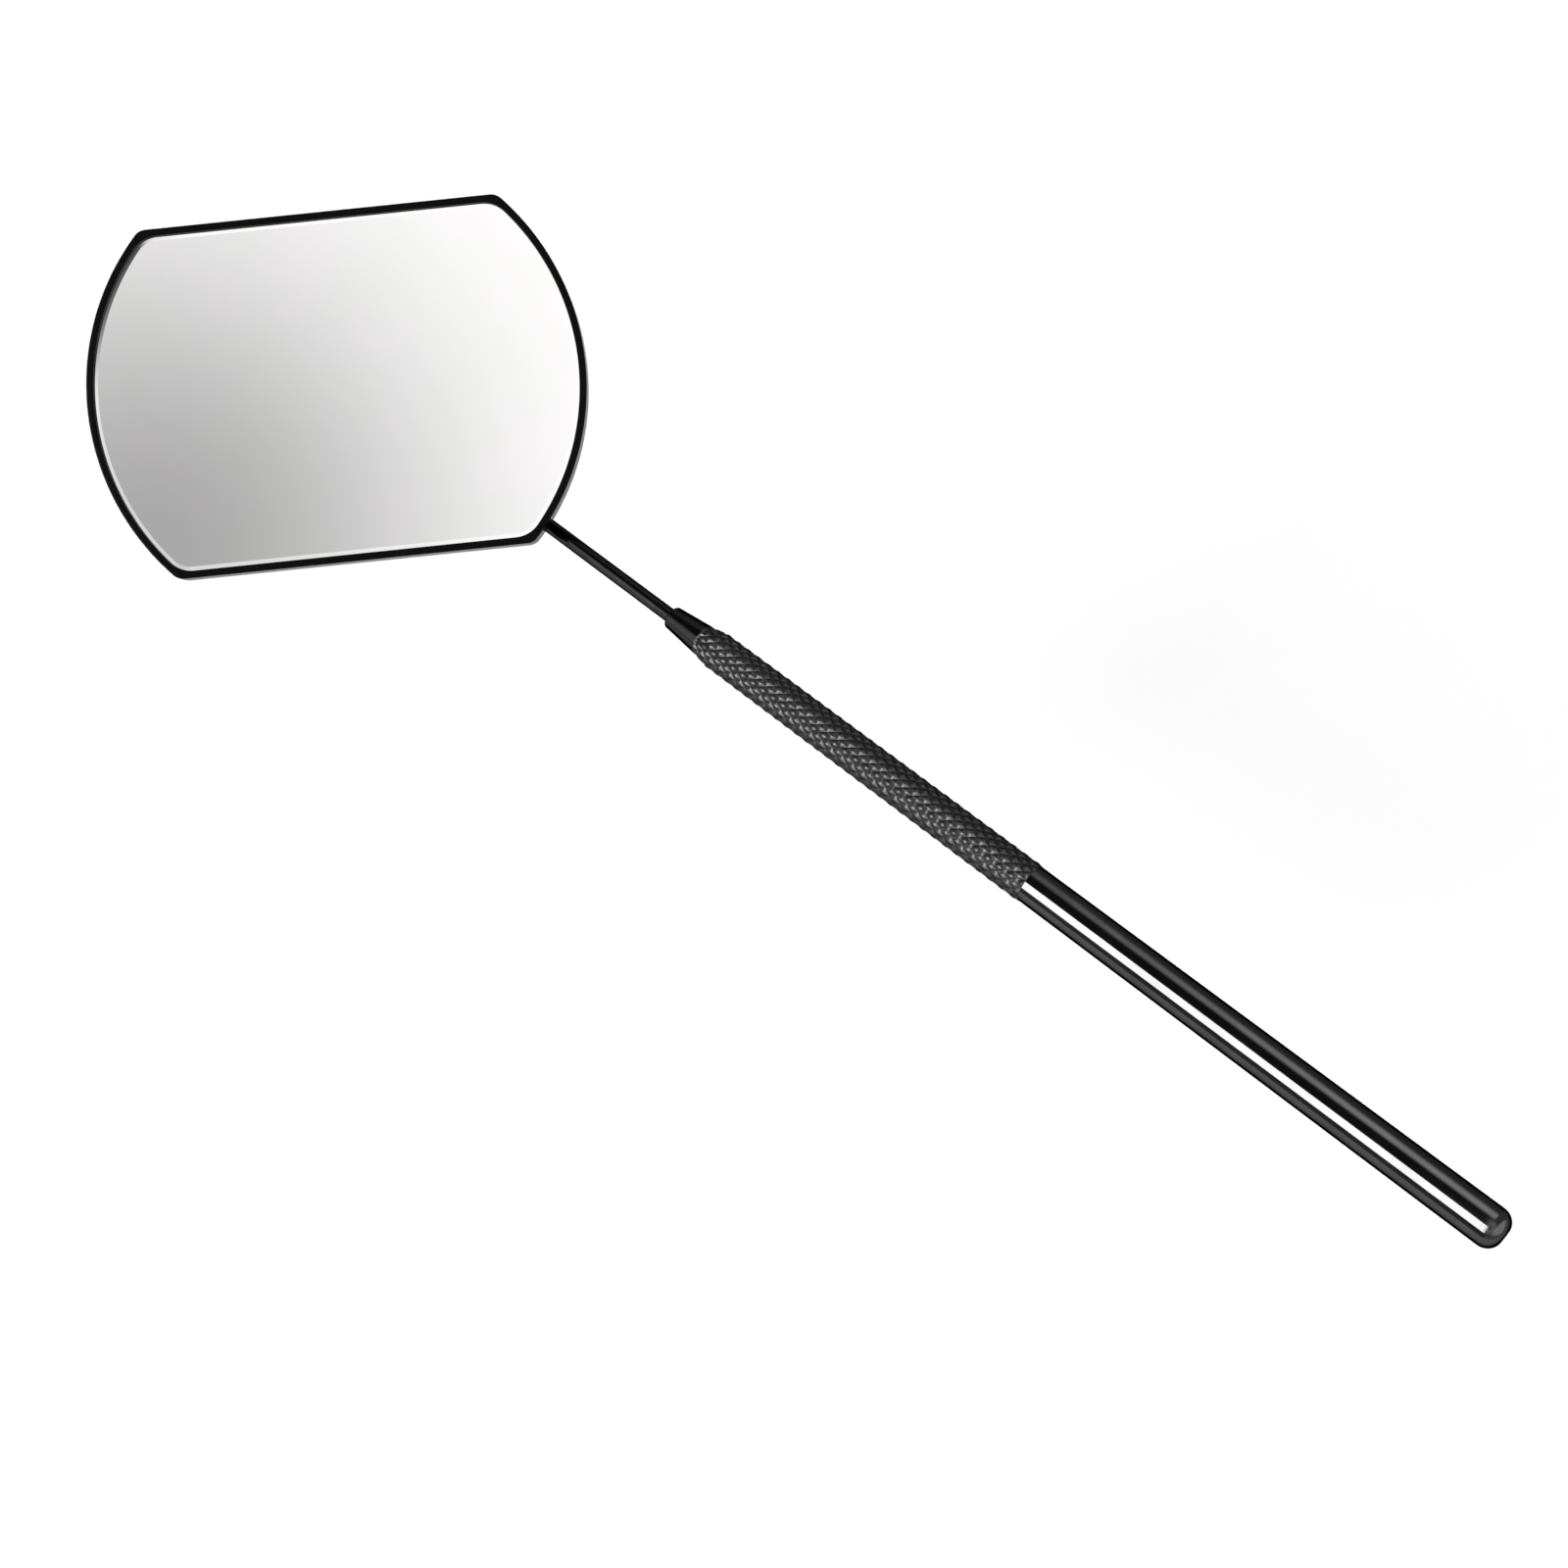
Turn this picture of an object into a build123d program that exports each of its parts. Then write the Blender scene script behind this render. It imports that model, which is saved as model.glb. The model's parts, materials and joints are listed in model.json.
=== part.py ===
from build123d import *
from math import cos, radians, sin, sqrt, tan
import os

# Telescoping inspection mirror, in millimetres, lying on a bench with the
# mirror folded back until its rim leans on the rod.
# +X runs along the handle towards its rear end and +Z is up. The origin is on
# the handle's axis, where the knurled grip ends and the smooth barrel starts.

# Handle, stations along X and radii
NOSE_X = -75.2
NOSE_TOP_X = -68.0
KNURL_X = -65.0
CAP_X = 76.0
REAR_X = 79.0
NOSE_FRONT_R = 1.95
NOSE_TOP_R = 2.6
NOSE_EDGE_R = 0.2
KNURL_R = 3.17
KNURL_BEVEL = 0.3
BARREL_R = 3.0
HANDLE_BORE_R = 2.3
NOSE_BORE_R = 1.7
NOSE_BORE_END_X = -66.0
SPIGOT_R = 2.6
SPIGOT_LENGTH = 8.0
CAP_SPIGOT_LENGTH = 6.0
CAP_FILLET = 2.2
BUSH_LENGTH = 5.0
BUSH_BORE_R = 1.675

# Middle tube, its sliding collar and its bow spring
TUBE_R = 1.625
TUBE_BORE_R = 1.425
TUBE_FRONT_X = -75.0
TUBE_REAR_X = 62.0
TUBE_LIP_LENGTH = 3.0
TUBE_LIP_BORE_R = 1.25
COLLAR_HUB_R = 1.8
COLLAR_FRONT_X = 48.8
COLLAR_SEAT_X = 49.8
COLLAR_SEAT_END_X = 58.2
COLLAR_FRONT_R = 2.15
COLLAR_REAR_R = 2.2
SPRING_THICKNESS = 0.2
SPRING_SLIT = 0.6
MIDDLE_SPRING_R = 2.27
SPRING_END_GAP = 0.1

# Tip rod and its tail
ROD_R = 1.2
EXPOSED_ROD = 58.7
ROD_NECK_R = 1.0
ROD_NECK_END = 5.2
ROD_TAPER = 0.8
ROD_TAIL_X = 40.0
ROD_TAIL_R = 0.9
ROD_COLLAR_X = 50.1
ROD_END_X = 52.0
ROD_SPRING_R = 1.385
ROD_SPRING_CLEARANCE = 0.05
BALL_R = 2.75
BALL_FLAT = 2.5
BALL_SPIGOT_R = 0.8
BALL_SPIGOT_DEPTH = 1.5

# Mirror head: a round case with two flats
CASE_R = 41.25
CASE_FLATS = 57.6
CASE_CORNER_R = 2.5
CASE_DEPTH = 4.0
CASE_WALL = 0.5
CASE_EDGE_R = 0.3
FRONT_LIP = 0.45
FRONT_LIP_WIDTH = 1.2
OPENING_CORNER_R = 5.0
REAR_LIP = 0.45
REAR_LIP_WIDTH = 2.2
GLASS_FRONT = 0.45
GLASS_THICKNESS = 2.0
GLASS_INSET = 0.6
BEVEL_WIDTH = 1.3
BEVEL_DEPTH = 0.08
PAD_THICKNESS = 0.5
PLATE_THICKNESS = 0.6
PLATE_INSET = 0.5

# Swivel bracket on the back of the head and the ball stud that it holds
BRACKET_LENGTH = 26.0
BRACKET_WIDTH = 11.0
BRACKET_CORNER_R = 3.0
SHEET = 0.6
BOSS_R = 4.3
POCKET_R = 3.6
POCKET_DEPTH = 1.1
STUD_HOLE_R = 1.15
STUD_JOURNAL_R = 1.1
STUD_NECK_R = 1.0
STUD_FLANGE_R = 3.2
STUD_FLANGE = 0.9
STUD_PLAY = 0.05
RIVET_SPACING_X = 20.0
RIVET_SPACING_Y = 6.0
RIVET_R = 0.7
RIVET_HEAD_R = 1.25
RIVET_HEAD = 0.5

# Where the head stands against the rod
LEAN = radians(26.4)
ROLL = radians(-30)
TURN = radians(43)
ROD_OFFSET = 3.0
RIM_GAP = 0.35
ROD_BALL_REACH = 15.0
STUD_BALL_DEPTH = 9.15

# Clamp link between the two balls
LINK_GAP = 3.0
LINK_SHEET = 0.8
LINK_END_R = 3.3
LINK_WAIST = 4.6
LINK_WAIST_FILLET = 4.0
SEAT_R = BALL_R + 0.03
SCREW_R = 1.0
SCREW_HOLE_R = 1.1
SCREW_HEAD_R = 1.9
SCREW_HEAD = 1.2
SCREW_TAIL = 0.4
SCREW_SLOT = 0.5
WASHER_R = 2.0
WASHER = 0.45
WASHER_SPLIT = 0.35
NUT_FLATS = 4.0
NUT = 1.6


# ---- places ----------------------------------------------------------------

face_normal = Vector(sin(LEAN), cos(LEAN) * sin(ROLL), cos(LEAN) * cos(ROLL))
across_rod = Vector(0, cos(ROLL), -sin(ROLL))
along_rod = across_rod.cross(face_normal)
long_axis = along_rod * cos(TURN) + across_rod * sin(TURN)

# The rod passes RIM_GAP behind the rim, and drops away from the face by LEAN.
rim_reach = sqrt(CASE_R**2 - ROD_OFFSET**2)
rod_depth_at_rim = CASE_DEPTH + (ROD_R + RIM_GAP) / cos(LEAN)
rod_depth = rod_depth_at_rim + rim_reach * tan(LEAN)

rod_ball = Vector(NOSE_X - EXPOSED_ROD, 0, 0)
below_centre = rod_ball - Vector(ROD_BALL_REACH / cos(LEAN), 0, 0)
face_centre = below_centre - across_rod * ROD_OFFSET + face_normal * rod_depth
stud_ball = face_centre - face_normal * STUD_BALL_DEPTH

link_direction = (stud_ball - rod_ball).normalized()
link_length = (stud_ball - rod_ball).length
link_normal = link_direction.cross(face_normal + Vector(1, 0, 0)).normalized()

mirror_plane = Plane(origin=face_centre, x_dir=long_axis, z_dir=face_normal)
stud_plane = Plane(origin=face_centre, x_dir=along_rod, z_dir=-across_rod)
link_plane = Plane(
    origin=(rod_ball + stud_ball) * 0.5, x_dir=link_direction, z_dir=link_normal
)
ball_places = [(-link_length / 2, 0), (link_length / 2, 0)]

glass_back = GLASS_FRONT + GLASS_THICKNESS
pad_back = glass_back + PAD_THICKNESS
plate_back = pad_back + PLATE_THICKNESS
bracket_back = plate_back + SHEET
boss_inside = plate_back + POCKET_DEPTH
boss_back = boss_inside + SHEET


# ---- shapes used more than once --------------------------------------------


def turned(*profile, plane=Plane.XY, axis=Axis.X):
    """A turned piece: a closed profile of straight runs, revolved."""
    with BuildPart() as piece:
        with BuildSketch(plane):
            with BuildLine():
                Polyline(*profile, close=True)
            make_face()
        revolve(axis=axis)
    return piece


def bow_spring(front, rear, end_radius, bow_radius):
    """A split sleeve of spring sheet, bowed outwards between its two ends."""
    middle = (front + rear) / 2
    with BuildPart() as spring:
        with BuildSketch(Plane.XY):
            with BuildLine():
                outer_end = end_radius + SPRING_THICKNESS
                ThreePointArc((front, outer_end), (middle, bow_radius), (rear, outer_end))
                Line((rear, outer_end), (rear, end_radius))
                inner_bow = bow_radius - SPRING_THICKNESS
                ThreePointArc((rear, end_radius), (middle, inner_bow), (front, end_radius))
                Line((front, end_radius), (front, outer_end))
            make_face()
        revolve(axis=Axis.X)
        with BuildSketch(Plane.XY):
            with Locations((middle, bow_radius)):
                Rectangle(rear - front + 1, 2 * bow_radius)
        extrude(amount=SPRING_SLIT / 2, both=True, mode=Mode.SUBTRACT)
    return spring


def case_outline(inset, corner):
    """The head's outline, moved inwards by inset: a circle cut by two flats."""
    with BuildSketch(mode=Mode.PRIVATE) as outline:
        Circle(CASE_R - inset)
        Rectangle(2 * CASE_R, CASE_FLATS - 2 * inset, mode=Mode.INTERSECT)
        fillet(outline.vertices(), corner)
    return outline.sketch


# ---- handle ----------------------------------------------------------------

# Knurled grip with the plain tapered nose turned on its front.
with BuildPart() as knurled_grip:
    with BuildSketch(Plane.XY):
        with BuildLine():
            Polyline(
                (NOSE_X, NOSE_BORE_R),
                (NOSE_X, NOSE_FRONT_R),
                (NOSE_TOP_X, NOSE_TOP_R),
                (KNURL_X, KNURL_R),
                (-KNURL_BEVEL, KNURL_R),
                (0, BARREL_R),
                (0, SPIGOT_R),
                (-SPIGOT_LENGTH, SPIGOT_R),
                (-SPIGOT_LENGTH, HANDLE_BORE_R),
                (NOSE_BORE_END_X, HANDLE_BORE_R),
                (NOSE_BORE_END_X, NOSE_BORE_R),
                close=True,
            )
        make_face()
    revolve(axis=Axis.X)
    nose_rim = knurled_grip.edges().group_by(Axis.X)[0].sort_by(SortBy.RADIUS)[-1]
    fillet(nose_rim, NOSE_EDGE_R)

barrel_tube = turned(
    (-SPIGOT_LENGTH, HANDLE_BORE_R),
    (-SPIGOT_LENGTH, SPIGOT_R),
    (0, SPIGOT_R),
    (0, BARREL_R),
    (CAP_X, BARREL_R),
    (CAP_X, HANDLE_BORE_R),
)

# End plug with a rounded end, pressed into the barrel.
with BuildPart() as end_cap:
    with BuildSketch(Plane.XY):
        with BuildLine():
            Polyline(
                (CAP_X - CAP_SPIGOT_LENGTH, 0),
                (CAP_X - CAP_SPIGOT_LENGTH, HANDLE_BORE_R),
                (CAP_X, HANDLE_BORE_R),
                (CAP_X, BARREL_R),
                (REAR_X - CAP_FILLET, BARREL_R),
            )
            RadiusArc(
                (REAR_X - CAP_FILLET, BARREL_R),
                (REAR_X, BARREL_R - CAP_FILLET),
                CAP_FILLET,
            )
            Polyline(
                (REAR_X, BARREL_R - CAP_FILLET),
                (REAR_X, 0),
                (CAP_X - CAP_SPIGOT_LENGTH, 0),
            )
        make_face()
    revolve(axis=Axis.X)

# Bush behind the nose: it guides the middle tube and stops its collar.
nose_bush = turned(
    (NOSE_BORE_END_X, BUSH_BORE_R),
    (NOSE_BORE_END_X, HANDLE_BORE_R),
    (NOSE_BORE_END_X + BUSH_LENGTH, HANDLE_BORE_R),
    (NOSE_BORE_END_X + BUSH_LENGTH, BUSH_BORE_R),
)


# ---- middle tube -----------------------------------------------------------

# Its front end is rolled in to guide the rod and to stop the rod's spring.
middle_tube = turned(
    (TUBE_FRONT_X, TUBE_LIP_BORE_R),
    (TUBE_FRONT_X, TUBE_R),
    (TUBE_REAR_X, TUBE_R),
    (TUBE_REAR_X, TUBE_BORE_R),
    (TUBE_FRONT_X + TUBE_LIP_LENGTH, TUBE_BORE_R),
    (TUBE_FRONT_X + TUBE_LIP_LENGTH, TUBE_LIP_BORE_R),
)

# Spool pressed on the tube's rear end, with a seat for the bow spring.
middle_end_collar = turned(
    (COLLAR_FRONT_X, TUBE_R),
    (COLLAR_FRONT_X, COLLAR_FRONT_R),
    (COLLAR_SEAT_X, COLLAR_FRONT_R),
    (COLLAR_SEAT_X, COLLAR_HUB_R),
    (COLLAR_SEAT_END_X, COLLAR_HUB_R),
    (COLLAR_SEAT_END_X, COLLAR_REAR_R),
    (TUBE_REAR_X, COLLAR_REAR_R),
    (TUBE_REAR_X, TUBE_R),
)

middle_friction_spring = bow_spring(
    COLLAR_SEAT_X + SPRING_END_GAP,
    COLLAR_SEAT_END_X - SPRING_END_GAP,
    COLLAR_HUB_R,
    MIDDLE_SPRING_R,
)


# ---- tip rod ---------------------------------------------------------------

ball_x = rod_ball.X

# The ball's spigot, the neck between the link's plates, the rod and its tail.
tip_rod = turned(
    (ball_x - BALL_SPIGOT_DEPTH, 0),
    (ball_x - BALL_SPIGOT_DEPTH, BALL_SPIGOT_R),
    (ball_x + BALL_FLAT, BALL_SPIGOT_R),
    (ball_x + BALL_FLAT, ROD_NECK_R),
    (ball_x + ROD_NECK_END, ROD_NECK_R),
    (ball_x + ROD_NECK_END + ROD_TAPER, ROD_R),
    (ROD_TAIL_X, ROD_R),
    (ROD_TAIL_X, ROD_TAIL_R),
    (ROD_END_X, ROD_TAIL_R),
    (ROD_END_X, 0),
)

with BuildPart() as rod_end_ball:
    with BuildSketch(Plane.XY):
        with Locations((ball_x, 0)):
            Circle(BALL_R)
        with Locations((ball_x - BALL_R, -BALL_R), (ball_x + BALL_R, -BALL_R)):
            Rectangle(2 * BALL_R, 2 * BALL_R, mode=Mode.SUBTRACT)
        with Locations((ball_x + BALL_FLAT, 0)):
            Rectangle(BALL_R, 2 * BALL_R, align=(Align.MIN, Align.CENTER), mode=Mode.SUBTRACT)
        with Locations((ball_x - BALL_SPIGOT_DEPTH, 0)):
            Rectangle(
                2 * BALL_R, BALL_SPIGOT_R, align=(Align.MIN, Align.MIN), mode=Mode.SUBTRACT
            )
    revolve(axis=Axis.X)

rod_tail_collar = turned(
    (ROD_COLLAR_X, ROD_TAIL_R),
    (ROD_COLLAR_X, ROD_R),
    (ROD_END_X, ROD_R),
    (ROD_END_X, ROD_TAIL_R),
)

rod_friction_spring = bow_spring(
    ROD_TAIL_X + SPRING_END_GAP,
    ROD_COLLAR_X - SPRING_END_GAP,
    ROD_TAIL_R + ROD_SPRING_CLEARANCE,
    ROD_SPRING_R,
)


# ---- clamp link ------------------------------------------------------------


def clamp_plate(side):
    """One of the two plates that squeeze the balls, on one side of the link."""
    with BuildPart() as plate:
        with BuildSketch(link_plane.offset(side * LINK_GAP / 2)) as outline:
            with Locations(*ball_places):
                Circle(LINK_END_R)
            Rectangle(link_length, LINK_WAIST)
            corners = outline.vertices().filter_by_position(
                Axis.X, -link_length / 2, link_length / 2
            )
            fillet(corners, LINK_WAIST_FILLET)
            Circle(SCREW_HOLE_R, mode=Mode.SUBTRACT)
        extrude(amount=side * LINK_SHEET)
        with Locations(rod_ball, stud_ball):
            Sphere(SEAT_R, mode=Mode.SUBTRACT)
    return plate


clamp_plate_upper = clamp_plate(1)
clamp_plate_lower = clamp_plate(-1)

outer_face = LINK_GAP / 2 + LINK_SHEET

with BuildPart() as spring_washer:
    with BuildSketch(link_plane.offset(outer_face)):
        Circle(WASHER_R)
        Circle(SCREW_HOLE_R, mode=Mode.SUBTRACT)
        with Locations((0, WASHER_R)):
            Rectangle(WASHER_SPLIT, 2 * WASHER_R, mode=Mode.SUBTRACT)
    extrude(amount=WASHER)

with BuildPart() as tension_screw:
    with BuildSketch(link_plane.offset(-outer_face - NUT - SCREW_TAIL)):
        Circle(SCREW_R)
    extrude(amount=2 * outer_face + NUT + SCREW_TAIL + WASHER)
    with BuildSketch(link_plane.offset(outer_face + WASHER)):
        Circle(SCREW_HEAD_R)
    extrude(amount=SCREW_HEAD)
    fillet(tension_screw.faces().sort_by(Axis(link_plane.origin, link_normal))[-1].edges(), 0.4)
    with BuildSketch(link_plane.offset(outer_face + WASHER + SCREW_HEAD)):
        Rectangle(3 * SCREW_HEAD_R, SCREW_SLOT)
    extrude(amount=-SCREW_HEAD / 2, mode=Mode.SUBTRACT)

with BuildPart() as tension_nut:
    with BuildSketch(link_plane.offset(-outer_face)):
        RegularPolygon(NUT_FLATS / 2, 6, major_radius=False)
        Circle(SCREW_R, mode=Mode.SUBTRACT)
    extrude(amount=-NUT)


# ---- mirror stud -----------------------------------------------------------

ball_height = -STUD_BALL_DEPTH
flange_back = -boss_inside + STUD_PLAY
neck_start = sqrt(BALL_R**2 - STUD_NECK_R**2)

# Ball, neck, journal and flange in one turned piece.
with BuildPart() as ball_stud:
    with BuildSketch(stud_plane):
        with BuildLine():
            ThreePointArc(
                (0, ball_height - BALL_R),
                (BALL_R, ball_height),
                (STUD_NECK_R, ball_height + neck_start),
            )
            Polyline(
                (STUD_NECK_R, ball_height + neck_start),
                (STUD_NECK_R, -boss_back),
                (STUD_JOURNAL_R, -boss_back),
                (STUD_JOURNAL_R, flange_back),
                (STUD_FLANGE_R, flange_back),
                (STUD_FLANGE_R, flange_back + STUD_FLANGE),
                (0, flange_back + STUD_FLANGE),
                (0, ball_height - BALL_R),
            )
        make_face()
    revolve(axis=Axis(face_centre, face_normal))


# ---- mirror head -----------------------------------------------------------

# Channel-shaped rim: a front lip over the glass, a wall and a rear lip.
with BuildPart() as bezel_frame:
    with BuildSketch(mirror_plane.offset(-CASE_DEPTH)):
        add(case_outline(0, CASE_CORNER_R))
    extrude(amount=CASE_DEPTH)
    flat_ends = bezel_frame.faces().filter_by(Axis(face_centre, face_normal))
    fillet(flat_ends.edges(), CASE_EDGE_R)
    with BuildSketch(mirror_plane.offset(-CASE_DEPTH + REAR_LIP)):
        add(case_outline(CASE_WALL, CASE_CORNER_R - CASE_WALL))
    extrude(amount=CASE_DEPTH - REAR_LIP - FRONT_LIP, mode=Mode.SUBTRACT)
    with BuildSketch(mirror_plane.offset(-FRONT_LIP)):
        add(case_outline(FRONT_LIP_WIDTH, OPENING_CORNER_R))
    extrude(amount=FRONT_LIP, mode=Mode.SUBTRACT)
    with BuildSketch(mirror_plane.offset(-CASE_DEPTH)):
        add(case_outline(REAR_LIP_WIDTH, OPENING_CORNER_R))
    extrude(amount=REAR_LIP, mode=Mode.SUBTRACT)

# The glass has a shallow bevel that starts under the front lip.
with BuildPart() as mirror_glass:
    with BuildSketch(mirror_plane.offset(-glass_back)):
        add(case_outline(GLASS_INSET, CASE_CORNER_R))
    extrude(amount=GLASS_THICKNESS)
    front_face = mirror_glass.faces().sort_by(Axis(face_centre, face_normal))[-1]
    chamfer(front_face.edges(), BEVEL_DEPTH, BEVEL_WIDTH, reference=front_face)

with BuildPart() as backing_pad:
    with BuildSketch(mirror_plane.offset(-pad_back)):
        add(case_outline(GLASS_INSET, CASE_CORNER_R))
    extrude(amount=PAD_THICKNESS)

with BuildPart() as back_plate:
    with BuildSketch(mirror_plane.offset(-plate_back)):
        add(case_outline(PLATE_INSET, CASE_CORNER_R - CASE_WALL))
        with GridLocations(RIVET_SPACING_X, RIVET_SPACING_Y, 2, 2):
            Circle(RIVET_R, mode=Mode.SUBTRACT)
    extrude(amount=PLATE_THICKNESS)

# Pressed bracket with a round boss that holds the stud's flange.
with BuildPart() as stud_bracket:
    with BuildSketch(mirror_plane.offset(-bracket_back)):
        RectangleRounded(BRACKET_LENGTH, BRACKET_WIDTH, BRACKET_CORNER_R)
    extrude(amount=SHEET)
    with BuildSketch(mirror_plane.offset(-bracket_back)):
        Circle(BOSS_R)
    extrude(amount=-(boss_back - bracket_back), taper=12)
    with BuildSketch(mirror_plane.offset(-plate_back)):
        Circle(POCKET_R)
    extrude(amount=-POCKET_DEPTH, mode=Mode.SUBTRACT)
    with BuildSketch(mirror_plane.offset(-boss_back)):
        Circle(STUD_HOLE_R)
    extrude(amount=SHEET, mode=Mode.SUBTRACT)
    with BuildSketch(mirror_plane.offset(-bracket_back)):
        with GridLocations(RIVET_SPACING_X, RIVET_SPACING_Y, 2, 2):
            Circle(RIVET_R)
    extrude(amount=SHEET, mode=Mode.SUBTRACT)

with BuildPart() as bracket_rivets:
    with BuildSketch(mirror_plane.offset(-bracket_back)):
        with GridLocations(RIVET_SPACING_X, RIVET_SPACING_Y, 2, 2):
            Circle(RIVET_R)
    extrude(amount=SHEET + PLATE_THICKNESS)
    with BuildSketch(mirror_plane.offset(-bracket_back)):
        with GridLocations(RIVET_SPACING_X, RIVET_SPACING_Y, 2, 2):
            Circle(RIVET_HEAD_R)
    extrude(amount=-RIVET_HEAD)
    rearmost = bracket_rivets.faces().group_by(Axis(face_centre, face_normal))[0]
    fillet(rearmost.edges(), RIVET_HEAD * 0.8)


# ---- files -----------------------------------------------------------------

pieces = {
    "knurled_grip": knurled_grip,
    "barrel_tube": barrel_tube,
    "end_cap": end_cap,
    "nose_bush": nose_bush,
    "middle_tube": middle_tube,
    "middle_end_collar": middle_end_collar,
    "middle_friction_spring": middle_friction_spring,
    "rod_friction_spring": rod_friction_spring,
    "tip_rod": tip_rod,
    "rod_end_ball": rod_end_ball,
    "rod_tail_collar": rod_tail_collar,
    "clamp_plate_upper": clamp_plate_upper,
    "clamp_plate_lower": clamp_plate_lower,
    "spring_washer": spring_washer,
    "tension_screw": tension_screw,
    "tension_nut": tension_nut,
    "ball_stud": ball_stud,
    "stud_bracket": stud_bracket,
    "bracket_rivets": bracket_rivets,
    "back_plate": back_plate,
    "backing_pad": backing_pad,
    "mirror_glass": mirror_glass,
    "bezel_frame": bezel_frame,
}

os.makedirs("parts", exist_ok=True)
for name, piece in pieces.items():
    piece.part.label = name
    export_step(piece.part, f"parts/{name}.step")
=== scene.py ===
import json
from math import acos, asin, atan2, cos, degrees, pi, radians, sin, sqrt

import bmesh
import bpy
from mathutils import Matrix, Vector

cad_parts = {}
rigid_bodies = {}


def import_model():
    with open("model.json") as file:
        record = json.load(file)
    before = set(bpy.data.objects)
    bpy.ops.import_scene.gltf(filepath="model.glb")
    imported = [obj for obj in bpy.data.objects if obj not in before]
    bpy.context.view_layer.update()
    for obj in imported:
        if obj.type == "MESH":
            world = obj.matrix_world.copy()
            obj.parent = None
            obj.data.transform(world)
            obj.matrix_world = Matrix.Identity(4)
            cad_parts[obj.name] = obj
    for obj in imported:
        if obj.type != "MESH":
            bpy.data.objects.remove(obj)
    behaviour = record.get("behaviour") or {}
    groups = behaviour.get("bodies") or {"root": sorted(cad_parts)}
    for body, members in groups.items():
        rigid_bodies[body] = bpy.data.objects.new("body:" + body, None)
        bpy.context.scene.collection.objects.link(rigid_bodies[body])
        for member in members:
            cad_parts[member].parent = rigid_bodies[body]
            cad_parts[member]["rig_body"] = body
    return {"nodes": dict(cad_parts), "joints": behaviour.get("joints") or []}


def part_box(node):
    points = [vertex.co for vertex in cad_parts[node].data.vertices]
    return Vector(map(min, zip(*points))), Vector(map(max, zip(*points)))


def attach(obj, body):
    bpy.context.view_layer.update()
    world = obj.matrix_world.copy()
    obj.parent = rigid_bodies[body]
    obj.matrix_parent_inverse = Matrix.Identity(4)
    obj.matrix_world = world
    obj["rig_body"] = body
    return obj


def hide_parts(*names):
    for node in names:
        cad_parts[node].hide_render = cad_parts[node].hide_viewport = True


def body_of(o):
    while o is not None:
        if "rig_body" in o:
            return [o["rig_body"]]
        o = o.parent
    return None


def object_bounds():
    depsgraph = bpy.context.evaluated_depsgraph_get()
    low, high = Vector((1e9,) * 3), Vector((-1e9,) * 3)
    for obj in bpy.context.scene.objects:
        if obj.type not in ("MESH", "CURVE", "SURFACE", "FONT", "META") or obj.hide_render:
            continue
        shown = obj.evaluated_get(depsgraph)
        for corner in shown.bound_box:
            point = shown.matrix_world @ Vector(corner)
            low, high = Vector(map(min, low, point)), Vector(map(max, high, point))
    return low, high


# Looks of the telescoping inspection mirror. Metres, in the frame's own axes:
# +X runs along the handle towards its rear end, +Z is up.

MM = 0.001

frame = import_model()
cad_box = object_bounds()
joints = {joint["name"]: joint for joint in frame["joints"]}


# ---- places taken from the frame -------------------------------------------


def span(node, direction):
    """How far a CAD node reaches along a direction: its lowest and highest value."""
    reach = [vertex.co.dot(direction) for vertex in frame["nodes"][node].data.vertices]
    return min(reach), max(reach)


ALONG = Vector((1, 0, 0))
FACE_NORMAL = Vector(joints["mirror_swivel"]["axis"]).normalized()
ACROSS_ROD = FACE_NORMAL.cross(ALONG).normalized()
ALONG_ROD = ACROSS_ROD.cross(FACE_NORMAL)
# how far the case's long axis is turned from the rod, about the face's normal
CASE_TURN = radians(43)
CASE_LONG = ALONG_ROD * cos(CASE_TURN) + ACROSS_ROD * sin(CASE_TURN)
CASE_SHORT = FACE_NORMAL.cross(CASE_LONG)

STUD_BALL = Vector(joints["stud_ball_tilt"]["pos_m"])
ROD_BALL = Vector(joints["rod_ball_tilt"]["pos_m"])
FACE_HEIGHT = span("bezel_frame", FACE_NORMAL)[1]
FACE_CENTRE = STUD_BALL + FACE_NORMAL * (FACE_HEIGHT - STUD_BALL.dot(FACE_NORMAL))
CASE_R = (span("bezel_frame", CASE_LONG)[1] - span("bezel_frame", CASE_LONG)[0]) / 2
CASE_HALF = (span("bezel_frame", CASE_SHORT)[1] - span("bezel_frame", CASE_SHORT)[0]) / 2
# depths below the face
CASE_DEPTH = FACE_HEIGHT - span("bezel_frame", FACE_NORMAL)[0]
GLASS_FRONT = FACE_HEIGHT - span("mirror_glass", FACE_NORMAL)[1]
GLASS_BACK = FACE_HEIGHT - span("mirror_glass", FACE_NORMAL)[0]
PLATE_FRONT = FACE_HEIGHT - span("back_plate", FACE_NORMAL)[1]
PLATE_BACK = FACE_HEIGHT - span("back_plate", FACE_NORMAL)[0]


# ---- node helpers ----------------------------------------------------------


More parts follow.
